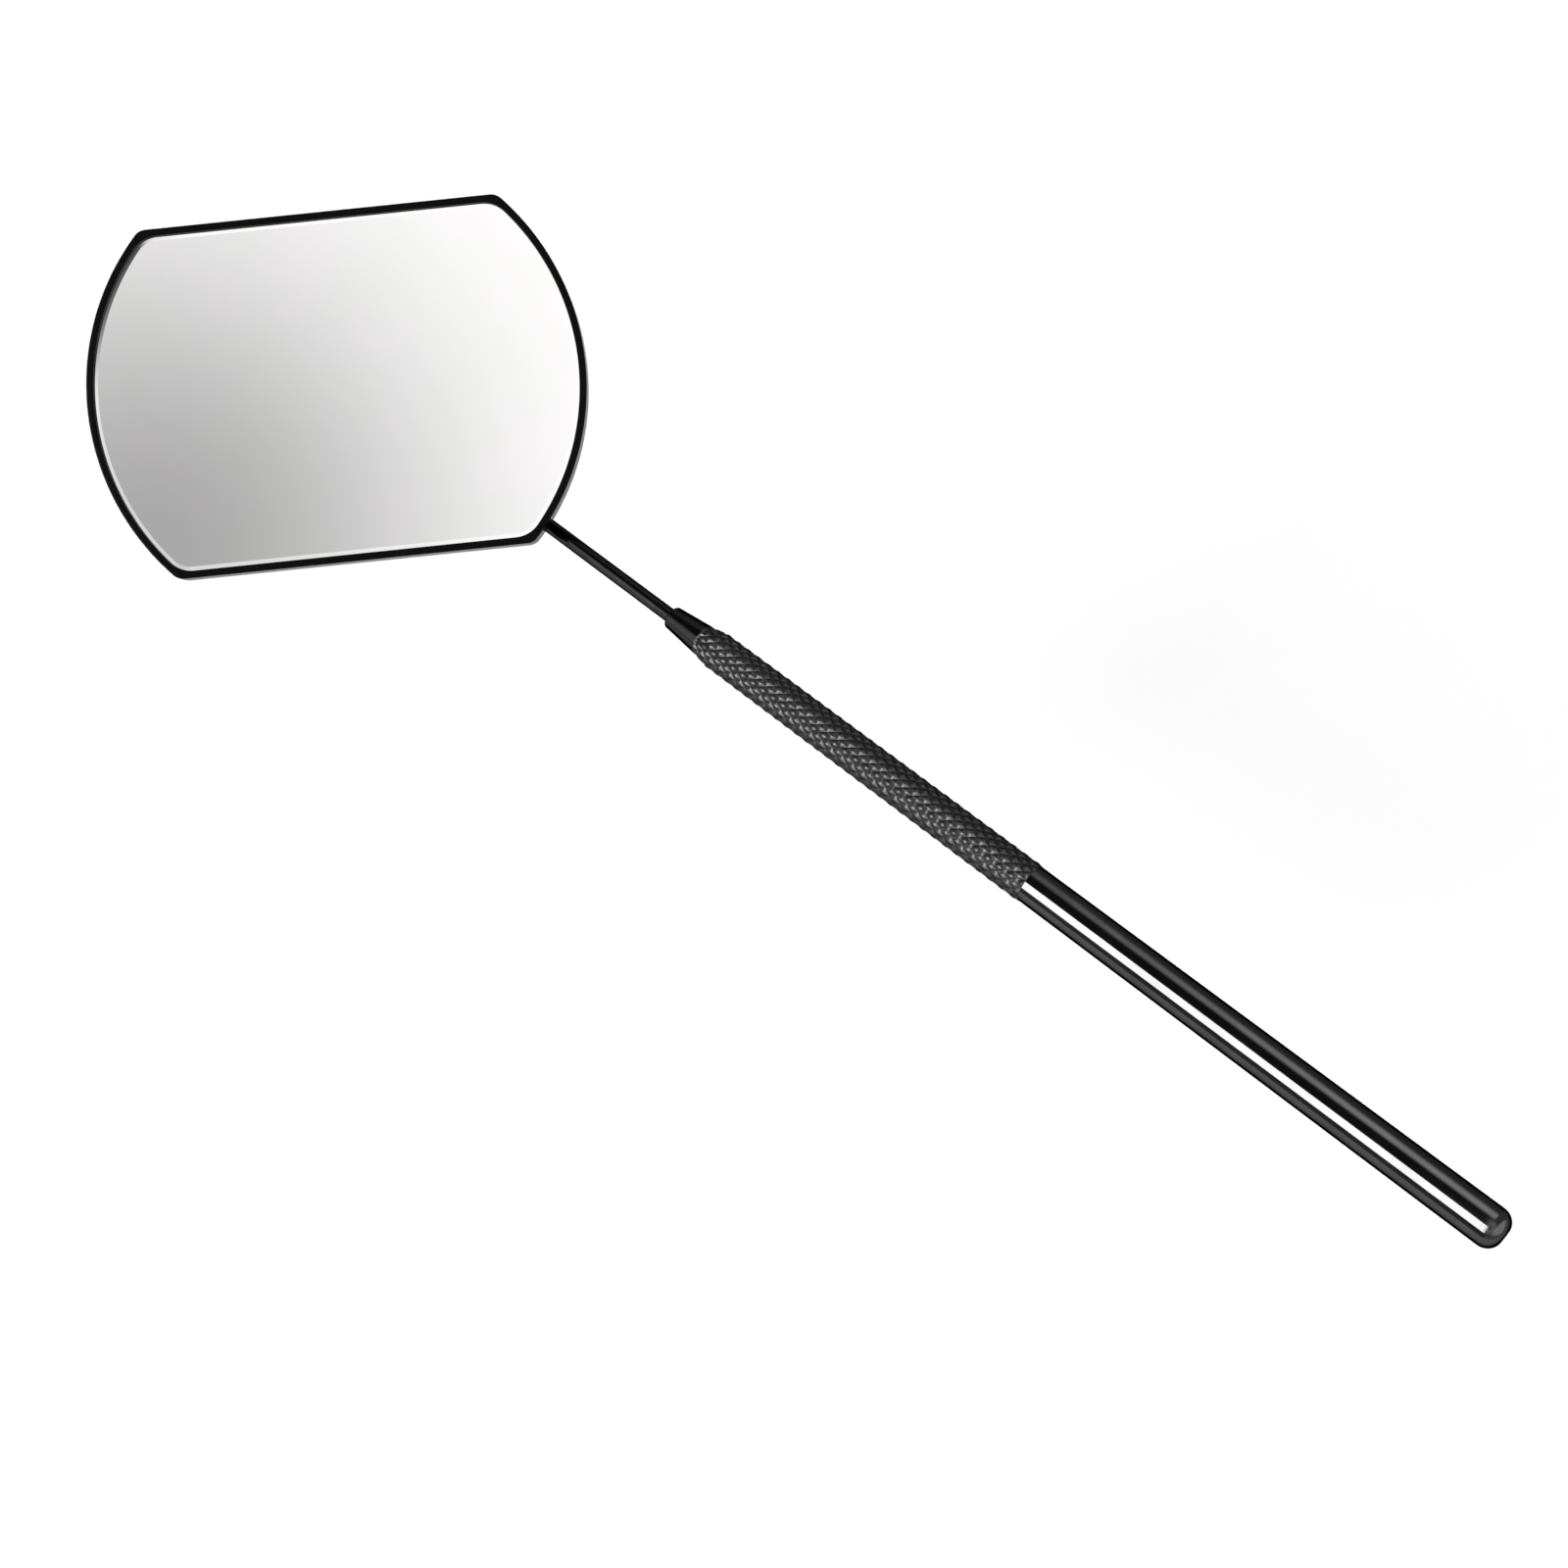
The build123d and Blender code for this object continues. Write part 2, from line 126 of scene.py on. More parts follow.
class Nodes:
    """Short calls for adding nodes to one tree and joining them."""

    def __init__(self, tree):
        self.tree = tree

    def add(self, kind, **settings):
        node = self.tree.nodes.new(kind)
        for name, value in settings.items():
            setattr(node, name, value)
        return node

    def join(self, value, socket):
        """Links another node's output to a socket, or sets the socket to a constant."""
        if isinstance(value, bpy.types.NodeSocket):
            self.tree.links.new(value, socket)
        else:
            socket.default_value = value

    def math(self, operation, *values):
        node = self.add("ShaderNodeMath", operation=operation)
        for value, socket in zip(values, node.inputs):
            self.join(value, socket)
        return node.outputs[0]

    def between(self, share, low, high):
        """A value that goes from low to high as share goes from 0 to 1."""
        return self.math("MULTIPLY_ADD", share, high - low, low)

    def ramp(self, value, start, end, low=0.0, high=1.0):
        """A smooth step from low to high as value goes from start to end."""
        node = self.add("ShaderNodeMapRange", interpolation_type="SMOOTHSTEP")
        entries = {"Value": value, "From Min": start, "From Max": end, "To Min": low, "To Max": high}
        for name, entry in entries.items():
            self.join(entry, node.inputs[name])
        return node.outputs["Result"]

    def noise(self, scale, detail=4.0, stretch=(1, 1, 1)):
        """A noise value over the object, drawn out along an axis by stretch."""
        mapping = self.add("ShaderNodeMapping")
        mapping.inputs["Scale"].default_value = stretch
        self.join(self.add("ShaderNodeTexCoord").outputs["Object"], mapping.inputs["Vector"])
        texture = self.add("ShaderNodeTexNoise")
        self.join(mapping.outputs["Vector"], texture.inputs["Vector"])
        texture.inputs["Scale"].default_value = scale
        texture.inputs["Detail"].default_value = detail
        return texture.outputs["Fac"]

    def mix(self, share, low, high):
        """A colour between low and high."""
        node = self.add("ShaderNodeMix", data_type="RGBA")
        self.join(share, node.inputs["Factor"])
        node.inputs["A"].default_value = (*low, 1)
        node.inputs["B"].default_value = (*high, 1)
        return node.outputs["Result"]

    def bump(self, height, distance, strength):
        """A normal, tilted by the slope of a height."""
        node = self.add("ShaderNodeBump")
        node.inputs["Distance"].default_value = distance
        node.inputs["Strength"].default_value = strength
        self.join(height, node.inputs["Height"])
        return node.outputs["Normal"]


def new_material(name, base, metallic, roughness, **fixed):
    """A Principled material, its shader and its nodes, with constants on the shader's own sockets."""
    material = bpy.data.materials.new(name)
    material.use_nodes = True
    shader = material.node_tree.nodes["Principled BSDF"]
    shader.inputs["Base Color"].default_value = (*base, 1)
    shader.inputs["Metallic"].default_value = metallic
    shader.inputs["Roughness"].default_value = roughness
    for socket, value in fixed.items():
        shader.inputs[socket.replace("_", " ")].default_value = value
    return material, shader, Nodes(material.node_tree)


# ---- camera, floor and light -----------------------------------------------

CAMERA_AZIMUTH = radians(44.1)
CAMERA_ELEVATION = radians(52.6)
CAMERA_DISTANCE = 0.300
CAMERA_AIM = Vector((-0.0406, -0.0098, -0.0037))
CAMERA_LENS = 44.8
CAMERA_NEAR = 0.01
CAMERA_BACK = Vector((
    sin(CAMERA_AZIMUTH) * cos(CAMERA_ELEVATION),
    -cos(CAMERA_AZIMUTH) * cos(CAMERA_ELEVATION),
    sin(CAMERA_ELEVATION),
))
CAMERA_PLACE = CAMERA_AIM + CAMERA_BACK * CAMERA_DISTANCE

FLOOR_DROP = 0.220
FLOOR_HALF = 0.8
FLOOR_COLOUR = (0.82, 0.82, 0.82)
BACKDROP_COLOUR = (1, 1, 1)

# The studio is a brightness by direction. A direction's angle about the handle is in
# degrees from straight up, positive towards +Y, the far side. Its run is its share along
# the handle, positive towards the rear end. Its rise is its share upwards. The light
# goes smoothly from the ground's brightness to the ceiling's between two rises.
GROUND_LIGHT = 0.95
GROUND_RISE = -0.60
CEILING_LIGHT = 0.32
CEILING_RISE = 0.35

# Patches of the studio: a strength, then a window by angle and a window by run. A
# window is where it starts, where it ends, and how soft each of those edges is.
# A dark card takes its strength's share of the light away, and a lamp adds to it.
DARK_CARDS = {
    "over the handle": (0.80, (-38, 12, 3, 12), (-0.75, -0.03, 0.08, 0.02)),
    "on the far side": (0.35, (56, 120, 18, 10), (-0.75, 0.10, 0.08, 0.10)),
    "low on the near side": (0.60, (-112, -79, 3, 1.5), (-0.50, 0.15, 0.06, 0.10)),
}
LAMPS = {
    "near strip": (13.0, (-78, -39.5, 1.0, 1.0), (-0.42, 0.005, 0.03, 0.012)),
    "soft strip over the handle": (1.9, (12, 42, 12, 14), (-0.24, 0.05, 0.20, 0.06)),
    "near side, forward": (0.9, (-88, -44, 20, 20), (-0.75, -0.44, 0.08, 0.03)),
    "front end": (0.35, (-50, 50, 30, 30), (-1.10, -0.86, 0.01, 0.06)),
    "rear end": (1.5, (-70, 70, 20, 20), (0.62, 1.10, 0.08, 0.01)),
}

# A white screen stands where the middle of the glass sends the camera's view, with a
# soft grey spot moved from there, back along the case's long and short axes. Its sizes
# are distances between unit directions.
SCREEN_DIRECTION = (FACE_CENTRE - CAMERA_PLACE).normalized().reflect(FACE_NORMAL)
SCREEN_LIGHT = 1.07
SCREEN_FADE = (0.45, 0.75)
SCREEN_START_RUN = (-0.03, 0.01)
SPOT_LIGHT = 0.42
SPOT_SIZE = 0.25
SPOT_SHIFT = (0.10, 0.07)


def add_camera():
    """The main camera, looking down at the mirror from the near side."""
    data = bpy.data.cameras.new("camera")
    data.lens = CAMERA_LENS
    data.clip_start = CAMERA_NEAR
    camera = bpy.data.objects.new("camera", data)
    bpy.context.collection.objects.link(camera)
    camera.location = CAMERA_PLACE
    camera.rotation_mode = "QUATERNION"
    camera.rotation_quaternion = (-CAMERA_BACK).to_track_quat("-Z", "Y")
    bpy.context.scene.camera = camera


def window(nodes, value, start, end, start_edge, end_edge):
    """1 from start to end and 0 beyond, over soft edges."""
    opens = nodes.ramp(value, start - start_edge, start + start_edge)
    closes = nodes.ramp(value, end - end_edge, end + end_edge, 1.0, 0.0)
    return nodes.math("MULTIPLY", opens, closes)


def patch(nodes, angle, run, strength, angle_window, run_window):
    """A patch of the studio: its strength inside both windows."""
    by_angle = window(nodes, angle, *angle_window)
    by_run = window(nodes, run, *run_window)
    return nodes.math("MULTIPLY", nodes.math("MULTIPLY", by_angle, by_run), strength)


def with_screen(nodes, light, direction, run):
    """The light with the white screen and its grey spot laid over it."""
    middle = SCREEN_DIRECTION - CASE_LONG * SPOT_SHIFT[0] - CASE_SHORT * SPOT_SHIFT[1]
    distance = nodes.add("ShaderNodeVectorMath", operation="DISTANCE")
    nodes.join(direction, distance.inputs[0])
    distance.inputs[1].default_value = middle.normalized()
    apart = distance.outputs["Value"]
    screen = nodes.ramp(apart, 0.0, SPOT_SIZE, SPOT_LIGHT, SCREEN_LIGHT)
    fade = nodes.ramp(apart, *SCREEN_FADE, 1.0, 0.0)
    share = nodes.math("MULTIPLY", fade, nodes.ramp(run, *SCREEN_START_RUN))
    behind = nodes.math("MULTIPLY", light, nodes.math("SUBTRACT", 1.0, share))
    return nodes.math("MULTIPLY_ADD", screen, share, behind)


def studio_light(nodes):
    """The studio's brightness in each direction."""
    direction = nodes.add("ShaderNodeTexCoord").outputs["Generated"]
    split = nodes.add("ShaderNodeSeparateXYZ")
    nodes.join(direction, split.inputs[0])
    run, far, rise = split.outputs
    angle = nodes.math("MULTIPLY", nodes.math("ARCTAN2", far, rise), 180 / pi)
    light = nodes.ramp(rise, GROUND_RISE, CEILING_RISE, GROUND_LIGHT, CEILING_LIGHT)
    for card in DARK_CARDS.values():
        left = nodes.math("SUBTRACT", 1.0, patch(nodes, angle, run, *card))
        light = nodes.math("MULTIPLY", light, left)
    light = with_screen(nodes, light, direction, run)
    for lamp in LAMPS.values():
        light = nodes.math("ADD", light, patch(nodes, angle, run, *lamp))
    return light


def add_world():
    """The studio lights the object, and the camera sees a plain backdrop behind it."""
    world = bpy.data.worlds.new("studio")
    world.use_nodes = True
    world.node_tree.nodes.clear()
    bpy.context.scene.world = world
    nodes = Nodes(world.node_tree)
    light = studio_light(nodes)
    grey = nodes.add("ShaderNodeCombineColor")
    for socket in grey.inputs:
        nodes.join(light, socket)
    studio = nodes.add("ShaderNodeBackground")
    nodes.join(grey.outputs[0], studio.inputs["Color"])
    backdrop = nodes.add("ShaderNodeBackground")
    backdrop.inputs["Color"].default_value = (*BACKDROP_COLOUR, 1)
    either = nodes.add("ShaderNodeMixShader")
    nodes.join(nodes.add("ShaderNodeLightPath").outputs["Is Camera Ray"], either.inputs[0])
    nodes.join(studio.outputs[0], either.inputs[1])
    nodes.join(backdrop.outputs[0], either.inputs[2])
    nodes.join(either.outputs[0], nodes.add("ShaderNodeOutputWorld").inputs["Surface"])
    bpy.context.scene.view_settings.view_transform = "Standard"


def add_floor():
    """A plain pale floor, far enough below that no shadow shows in the main view."""
    mesh = bpy.data.meshes.new("floor")
    corners = [(x * FLOOR_HALF, y * FLOOR_HALF, 0) for x, y in ((-1, -1), (1, -1), (1, 1), (-1, 1))]
    mesh.from_pydata(corners, [], [(0, 1, 2, 3)])
    floor = bpy.data.objects.new("floor", mesh)
    floor.location.z = cad_box[0].z - FLOOR_DROP
    bpy.context.collection.objects.link(floor)
    paper = new_material(
        "floor_paper", FLOOR_COLOUR, metallic=0.0, roughness=0.9, Specular_IOR_Level=0.1
    )
    mesh.materials.append(paper[0])


add_camera()
add_world()
add_floor()


# ---- materials -------------------------------------------------------------

# polishing lines drawn out along the handle, and a dark plating's tint at grazing angles
DRAWN_ALONG = (0.05, 1, 1)
DARK_EDGE = (0.05, 0.05, 0.05)
# shares of a polished metal's roughness: between and on its polishing lines, and added by a stain
SMOOTH_SHARE = 0.6
LINE_SHARE = 1.4
STAIN_SHARE = 0.5

POLISHED_METALS = {
    "dark_chrome": {
        "base": (0.070, 0.070, 0.072), "worn": (0.085, 0.084, 0.083), "roughness": 0.07,
        "drawn": DRAWN_ALONG, "edge": DARK_EDGE,
    },
    "rod_chrome": {
        "base": (0.046, 0.045, 0.045), "worn": (0.060, 0.058, 0.056), "roughness": 0.10,
        "drawn": DRAWN_ALONG, "edge": DARK_EDGE,
    },
    "ball_steel": {"base": (0.55, 0.55, 0.56), "worn": (0.42, 0.41, 0.40), "roughness": 0.10},
    "spring_steel": {"base": (0.25, 0.25, 0.27), "worn": (0.16, 0.14, 0.12), "roughness": 0.25},
    "link_steel": {"base": (0.30, 0.30, 0.31), "worn": (0.22, 0.22, 0.22), "roughness": 0.28},
    "screw_steel": {"base": (0.45, 0.45, 0.46), "worn": (0.34, 0.33, 0.32), "roughness": 0.22},
    "bush_brass": {"base": (0.62, 0.44, 0.18), "worn": (0.42, 0.29, 0.12), "roughness": 0.22},
}


def polished_metal(name, base, worn, roughness, drawn=(1, 1, 1), edge=(1, 1, 1)):
    """Plated, polished metal: soft cloudy stains and fine polishing lines."""
    material, shader, nodes = new_material(
        name, base, metallic=1.0, roughness=roughness, Specular_Tint=(*edge, 1)
    )
    stain = nodes.ramp(nodes.noise(scale=220.0, detail=5.0), 0.35, 0.75)
    lines = nodes.noise(scale=900.0, detail=3.0, stretch=drawn)
    nodes.join(nodes.mix(stain, base, worn), shader.inputs["Base Color"])
    drawn_rough = nodes.between(
        nodes.ramp(lines, 0.3, 0.8), roughness * SMOOTH_SHARE, roughness * LINE_SHARE
    )
    rough = nodes.math("MULTIPLY_ADD", stain, roughness * STAIN_SHARE, drawn_rough)
    nodes.join(rough, shader.inputs["Roughness"])
    nodes.join(nodes.bump(lines, distance=0.004 * MM, strength=0.15), shader.inputs["Normal"])
    return material


def black_enamel():
    """Black enamel with a faint orange peel and specks of dust."""
    base = (0.0015, 0.0015, 0.0015)
    dusty = (0.008, 0.008, 0.0075)
    material, shader, nodes = new_material(
        "black_enamel", base, metallic=0.0, roughness=0.30, IOR=1.12
    )
    dust = nodes.ramp(nodes.noise(scale=2600.0), 0.60, 0.80)
    peel = nodes.noise(scale=900.0, detail=2.0)
    nodes.join(nodes.mix(dust, base, dusty), shader.inputs["Base Color"])
    nodes.join(nodes.between(dust, low=0.24, high=0.49), shader.inputs["Roughness"])
    nodes.join(nodes.bump(peel, distance=0.02 * MM, strength=0.25), shader.inputs["Normal"])
    return material


def silvered_glass():
    """A mirror's bright silver, with a trace of warm and cool haze."""
    base = (0.942, 0.922, 0.926)
    hazy = (0.915, 0.918, 0.905)
    material, shader, nodes = new_material("silvered_glass", base, metallic=1.0, roughness=0.02)
    haze = nodes.ramp(nodes.noise(scale=60.0, detail=6.0), 0.35, 0.7)
    nodes.join(nodes.mix(haze, base, hazy), shader.inputs["Base Color"])
    nodes.join(nodes.between(haze, low=0.012, high=0.032), shader.inputs["Roughness"])
    return material


def pad_rubber():
    """Dull dark sheet with a fine grain."""
    base = (0.045, 0.042, 0.040)
    light = (0.08, 0.075, 0.07)
    material, shader, nodes = new_material("pad_rubber", base, metallic=0.0, roughness=0.85)
    grain = nodes.noise(scale=3000.0)
    nodes.join(nodes.mix(nodes.ramp(grain, 0.3, 0.7), base, light), shader.inputs["Base Color"])
    nodes.join(nodes.bump(grain, distance=0.05 * MM, strength=0.5), shader.inputs["Normal"])
    return material


def knurled_metal():
    """Dark plated knurl: its crests are worn lighter than its grooves."""
    base = (0.050, 0.050, 0.051)
    worn = (0.092, 0.092, 0.092)
    edge = (0.3, 0.3, 0.3)
    material, shader, nodes = new_material(
        "knurled_metal", base, metallic=1.0, roughness=0.38, Specular_Tint=(*edge, 1)
    )
    crest = nodes.add("ShaderNodeAttribute", attribute_name="crest").outputs["Fac"]
    rubbed = nodes.ramp(nodes.noise(scale=1400.0), 0.3, 0.7)
    wear = nodes.math("MULTIPLY", nodes.ramp(crest, 0.25, 1.0), rubbed)
    nodes.join(nodes.mix(wear, base, worn), shader.inputs["Base Color"])
    nodes.join(nodes.between(wear, low=0.36, high=0.42), shader.inputs["Roughness"])
    return material


MATERIALS = {name: polished_metal(name, **look) for name, look in POLISHED_METALS.items()}
MATERIALS["black_enamel"] = black_enamel()
MATERIALS["silvered_glass"] = silvered_glass()
MATERIALS["pad_rubber"] = pad_rubber()
MATERIALS["knurled_metal"] = knurled_metal()

NODE_MATERIALS = {
    "barrel_tube": "dark_chrome",
    "end_cap": "dark_chrome",
    "nose_bush": "bush_brass",
    "middle_tube": "dark_chrome",
    "middle_end_collar": "bush_brass",
    "middle_friction_spring": "spring_steel",
    "rod_friction_spring": "spring_steel",
    "tip_rod": "rod_chrome",
    "rod_end_ball": "ball_steel",
    "rod_tail_collar": "rod_chrome",
    "clamp_plate_upper": "link_steel",
    "clamp_plate_lower": "link_steel",
    "spring_washer": "spring_steel",
    "tension_screw": "screw_steel",
    "tension_nut": "screw_steel",
    "ball_stud": "ball_steel",
    "stud_bracket": "link_steel",
    "bracket_rivets": "screw_steel",
    "back_plate": "black_enamel",
    "backing_pad": "pad_rubber",
    "mirror_glass": "silvered_glass",
    "bezel_frame": "black_enamel",
    "knurled_grip": "knurled_metal",
}

for node, material in NODE_MATERIALS.items():
    slots = frame["nodes"][node].data.materials
    slots.clear()
    slots.append(MATERIALS[material])


# ---- mesh helpers ----------------------------------------------------------

MERGE_GAP = 0.0001 * MM
SHADE_CREASE = 30
EASE_STEPS = 4
# the most of a side that one eased corner may take
EASE_SHARE = 0.45


def shade(mesh, crease):
    """Smooth shading, with edges sharper than crease degrees left sharp."""
    mesh.polygons.foreach_set("use_smooth", [True] * len(mesh.polygons))
    mesh.set_sharp_from_angle(angle=radians(crease))


def stand_for(piece, node):
    """Makes a piece ride on a CAD node's body and replace the node."""
    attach(piece, body_of(frame["nodes"][node])[0])
    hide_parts(node)


def new_piece(name, vertices, faces, material, replaced, crease=SHADE_CREASE):
    """A mesh piece in the frame's axes, riding where the CAD node it stands for rides."""
    mesh = bpy.data.meshes.new(name)
    mesh.from_pydata(vertices, [], faces)
    work = bmesh.new()
    work.from_mesh(mesh)
    bmesh.ops.remove_doubles(work, verts=work.verts, dist=MERGE_GAP)
    bmesh.ops.recalc_face_normals(work, faces=work.faces)
    work.to_mesh(mesh)
    work.free()
    mesh.materials.append(MATERIALS[material])
    shade(mesh, crease)
    piece = bpy.data.objects.new(name, mesh)
    bpy.context.collection.objects.link(piece)
    stand_for(piece, replaced)
    return piece


def weigh_normals(piece):
    """Keeps flat stretches flat beside their rounded edges."""
    modifier = piece.modifiers.new("normals", "WEIGHTED_NORMAL")
    modifier.keep_sharp = True


def ring_faces(rings, around, closed):
    """Quads between rings of equal counts, closed into a loop or capped at both ends."""
    faces = []
    for i in range(rings if closed else rings - 1):
        here = i * around
        there = (i + 1) % rings * around
        for k in range(around):
            after = (k + 1) % around
            faces.append((here + k, here + after, there + after, there + k))
    if not closed:
        faces.append(tuple(range(around)))
        faces.append(tuple(range((rings - 1) * around, rings * around)))
    return faces


def eased(profile, radius):
    """A closed profile with each corner off the axis rounded by up to radius."""
    points = [Vector(point) for point in profile]
    rounded = []
    for i, corner in enumerate(points):
        if corner.y == 0:
            rounded.append(corner)
            continue
        before = points[i - 1] - corner
        after = points[(i + 1) % len(points)] - corner
        reach = min(radius, before.length * EASE_SHARE, after.length * EASE_SHARE)
        start = corner + before.normalized() * reach
        end = corner + after.normalized() * reach
        for step in range(EASE_STEPS + 1):
            t = step / EASE_STEPS
            rounded.append(start * (1 - t) ** 2 + corner * 2 * t * (1 - t) + end * t**2)
    return [tuple(point) for point in rounded]


def lathe(name, profile, material, replaced, place=None, segments=128):
    """A turned piece from a closed profile of (along the axis, radius), at (origin, axis)."""
    origin, axis = place or (Vector(), ALONG)
    turn = ALONG.rotation_difference(axis)
    vertices = []
    for along, radius in profile:
        for k in range(segments):
            angle = 2 * pi * k / segments
            point = Vector((along, radius * cos(angle), radius * sin(angle)))
            vertices.append(origin + turn @ point)
    faces = ring_faces(len(profile), segments, True)
    weigh_normals(new_piece(name, vertices, faces, material, replaced))


def arc(centre, radius, start, end, steps):
    """Profile points on an arc, by angle in degrees from the axis direction."""
    points = []
    for step in range(steps + 1):
        angle = radians(start + (end - start) * step / steps)
        points.append((centre[0] + radius * cos(angle), centre[1] + radius * sin(angle)))
    return points


# ---- knurled grip ----------------------------------------------------------

# starts each way round the grip, and mesh steps from one start to the next
KNURL_AROUND = 12
KNURL_STEPS = 12
KNURL_PITCH = 2.19 * MM
KNURL_DEPTH = 0.22 * MM
KNURL_CREASE = 24
# the share of a V groove's full height at which the crests are cut flat
CREST_FLAT = 0.72
NOSE_FRONT_R = 1.95 * MM
NOSE_TOP_R = 2.6 * MM
NOSE_BORE_R = 1.7 * MM
NOSE_LENGTH = 7.2 * MM
NOSE_BORE_LENGTH = 9.2 * MM
NOSE_ROUND = 0.24 * MM
CONE_LENGTH = 3.0 * MM
BORE_R = 2.3 * MM
SPIGOT_R = 2.6 * MM
SPIGOT_LENGTH = 8.0 * MM
REAR_BEVEL = 0.3 * MM
# how far short of the knurl the nose's own finish stops
SEAM_MARGIN = 0.05 * MM


def groove(phase):
    """Height over one family of V grooves: 0 in a groove's floor, 1 midway between two."""
    return 1 - abs(2 * (phase % 1) - 1)


def crest_height(turn_share, x):
    """Height of the diamond knurl, from 0 in its grooves to 1 on its crests."""
    along = x / KNURL_PITCH
    around = turn_share * KNURL_AROUND
    sharp = min(groove(around + along), groove(around - along))
    return min(sharp / CREST_FLAT, 1.0)


def grip_rings():
    """Rings of the grip as (x, radius, groove depth), round its section from the nose bore."""
    lowest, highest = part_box("knurled_grip")
    front_x, rear_x, outer_r = lowest.x, highest.x, highest.y
    barrel_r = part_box("barrel_tube")[1].y
    nose_end = front_x + NOSE_LENGTH
    step = KNURL_PITCH / KNURL_STEPS
    round_centre = (front_x + NOSE_ROUND, NOSE_FRONT_R - NOSE_ROUND)
    rings = [(front_x, NOSE_BORE_R, 0.0)]
    for x, radius in arc(round_centre, NOSE_ROUND, start=180, end=90, steps=6):
        rings.append((x, radius, 0.0))
    rings.append((nose_end - step, NOSE_TOP_R, 0.0))
    count = round((rear_x - nose_end) / step)
    for i in range(count + 1):
        x = nose_end + (rear_x - nose_end) * i / count
        rise = min(1.0, (x - nose_end) / CONE_LENGTH)
        radius = NOSE_TOP_R + (outer_r - NOSE_TOP_R) * rise
        # the grooves run out over two steps at the nose and over the bevel at the rear
        fade = min(1.0, (x - nose_end) / (2 * step), (rear_x - x) / REAR_BEVEL)
        if x > rear_x - REAR_BEVEL:
            radius = barrel_r + (outer_r - barrel_r) * (rear_x - x) / REAR_BEVEL
        rings.append((x, radius, KNURL_DEPTH * fade))
    rings += [
        (rear_x, SPIGOT_R, 0.0),
        (rear_x - SPIGOT_LENGTH, SPIGOT_R, 0.0),
        (rear_x - SPIGOT_LENGTH, BORE_R, 0.0),
        (front_x + NOSE_BORE_LENGTH, BORE_R, 0.0),
        (front_x + NOSE_BORE_LENGTH, NOSE_BORE_R, 0.0),
    ]
    return rings


def grip_piece():
    """The knurled grip with its plain nose, which is polished like the rod."""
    rings = grip_rings()
    nose_end = rings[0][0] + NOSE_LENGTH
    around = KNURL_AROUND * KNURL_STEPS
    vertices, crests, faces = [], [], []
    for x, radius, depth in rings:
        for k in range(around):
            height = crest_height(k / around, x - nose_end) if depth else 0.0
            r = radius - depth * (1 - height)
            angle = 2 * pi * k / around
            vertices.append((x, r * cos(angle), r * sin(angle)))
            crests.append(height)
    # the quads are split so that both families of grooves run along edges
    for i, quad in enumerate(ring_faces(len(rings), around, True)):
        if (i // around + i % around) % 2:
            faces += [(quad[0], quad[1], quad[2]), (quad[0], quad[2], quad[3])]
        else:
            faces += [(quad[0], quad[1], quad[3]), (quad[1], quad[2], quad[3])]
    piece = new_piece("grip", vertices, faces, "knurled_metal", "knurled_grip", KNURL_CREASE)
    mesh = piece.data
    layer = mesh.attributes.new("crest", "FLOAT", "POINT")
    layer.data.foreach_set("value", crests)
    mesh.materials.append(MATERIALS["rod_chrome"])
    for face in mesh.polygons:
        if face.center.x < nose_end - SEAM_MARGIN:
            face.material_index = 1


# ---- barrel, end cap, tubes and rod ----------------------------------------

BARREL_EDGE = 0.02 * MM
CAP_ROUND = 2.2 * MM
CAP_SPIGOT_LENGTH = 6.0 * MM
TUBE_BORE_R = 1.425 * MM
TUBE_LIP_R = 1.25 * MM
TUBE_LIP_LENGTH = 3.0 * MM
TUBE_EDGE = 0.12 * MM
ROD_NECK_R = 1.0 * MM
ROD_NECK_END = 5.2 * MM
ROD_TAPER = 0.8 * MM
ROD_TAIL_R = 0.9 * MM
ROD_TAIL_LENGTH = 12.0 * MM
ROD_EDGE = 0.06 * MM
BALL_SPIGOT_R = 0.8 * MM
BALL_SPIGOT_DEPTH = 1.5 * MM
BALL_FLAT = 2.5 * MM
BALL_STEPS = 40
SLIM_SEGMENTS = 96


def barrel_piece():
    """The smooth barrel, with its spigot inside the grip."""
    lowest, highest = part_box("barrel_tube")
    seam_x = lowest.x + SPIGOT_LENGTH
    profile = [
        (lowest.x, BORE_R),
        (lowest.x, SPIGOT_R),
        (seam_x, SPIGOT_R),
        (seam_x, highest.y),
        (highest.x, highest.y),
        (highest.x, BORE_R),
    ]
    lathe("barrel", eased(profile, BARREL_EDGE), "dark_chrome", "barrel_tube")


def cap_piece():
    """The end plug with its rounded end."""
    lowest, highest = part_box("end_cap")
    seam_x = lowest.x + CAP_SPIGOT_LENGTH
    round_centre = (highest.x - CAP_ROUND, highest.y - CAP_ROUND)
    profile = [(lowest.x, 0), (lowest.x, BORE_R), (seam_x, BORE_R), (seam_x, highest.y)]
    profile += arc(round_centre, CAP_ROUND, start=90, end=0, steps=16)
    profile += [(highest.x, 0)]
    lathe("cap", profile, "dark_chrome", "end_cap")


def middle_tube_piece():
    """The middle telescoping tube, with its front end rolled in."""
    lowest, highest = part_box("middle_tube")
    lip_x = lowest.x + TUBE_LIP_LENGTH
    profile = [
        (lowest.x, TUBE_LIP_R),
        (lowest.x, highest.y),
        (highest.x, highest.y),
        (highest.x, TUBE_BORE_R),
        (lip_x, TUBE_BORE_R),
        (lip_x, TUBE_LIP_R),
    ]
    profile = eased(profile, TUBE_EDGE)
    lathe("inner_tube", profile, "dark_chrome", "middle_tube", segments=SLIM_SEGMENTS)


